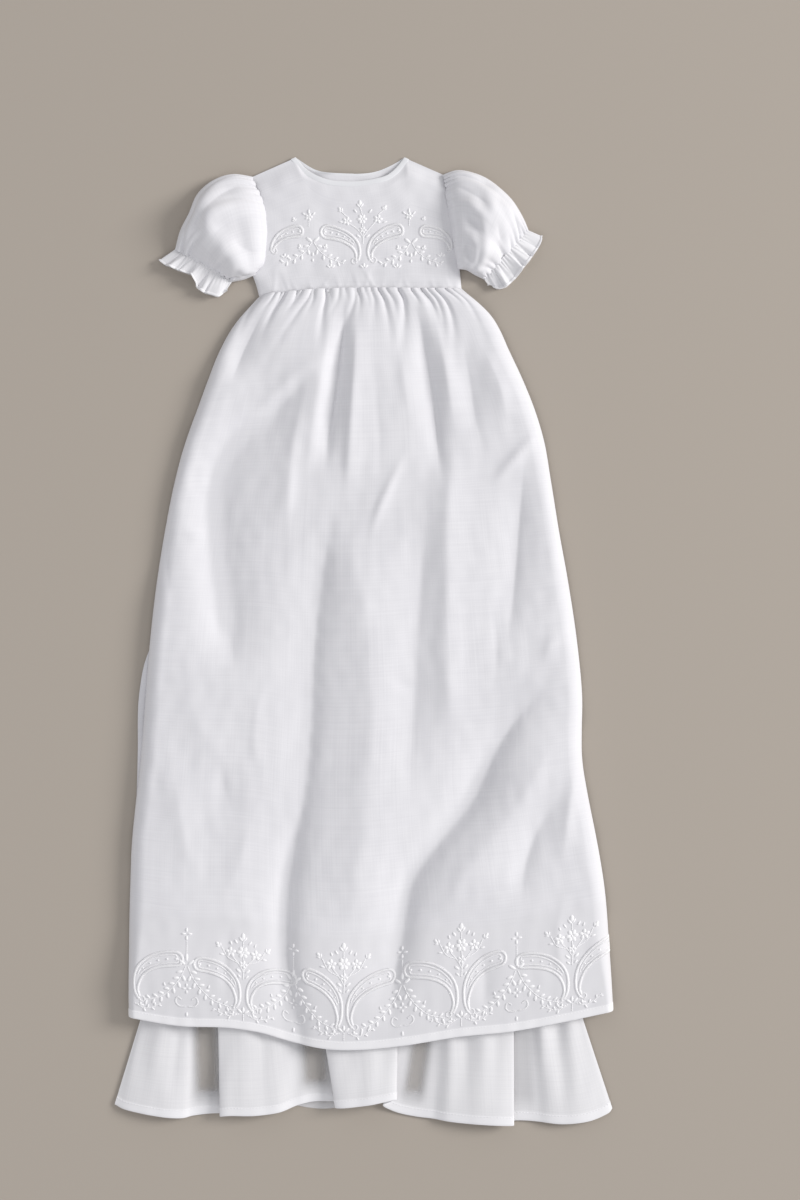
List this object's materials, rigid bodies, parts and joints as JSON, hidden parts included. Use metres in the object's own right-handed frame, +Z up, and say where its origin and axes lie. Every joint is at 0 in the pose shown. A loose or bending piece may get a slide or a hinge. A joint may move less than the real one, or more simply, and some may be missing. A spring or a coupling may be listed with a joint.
{
  "type": "christening gown",
  "caption": "Baby's long white christening gown laid flat: high bodice, puffed sleeves with frills, gathered skirt with raised white embroidery, and a flounce below the hem.",
  "frame": {"origin": "middle of the gown's outline as seen from above, on the surface it lies on", "axes": "+X to the right as seen from above, +Y towards the neck, +Z up from the surface through the gown's front"},
  "size_m": [0.4979, 0.9662, 0.0361],
  "materials": {
    "gown_lawn": "slubby white cotton lawn, matt, with raised white embroidery",
    "binding_lawn": "folded white cotton binding, matt",
    "frill_lawn": "slightly sheer white cotton lawn, matt",
    "underskirt_lawn": "plain white cotton lawn, matt",
    "pearl_button": "small pearly button, soft gloss"
  },
  "bodies": {
    "root": {"bodice_front": "gown_lawn", "bodice_back_left": "gown_lawn", "bodice_back_right": "gown_lawn", "neck_binding": "binding_lawn", "sleeve_left": "gown_lawn", "sleeve_right": "gown_lawn", "sleeve_frill_left": "frill_lawn", "sleeve_frill_right": "frill_lawn", "skirt_front": "gown_lawn", "skirt_back": "gown_lawn", "underskirt_front": "underskirt_lawn", "underskirt_back": "underskirt_lawn", "flounce_front": "frill_lawn", "flounce_back": "frill_lawn", "back_button_1": "pearl_button", "back_button_2": "pearl_button", "back_button_3": "pearl_button"}
  },
  "joints": []
}
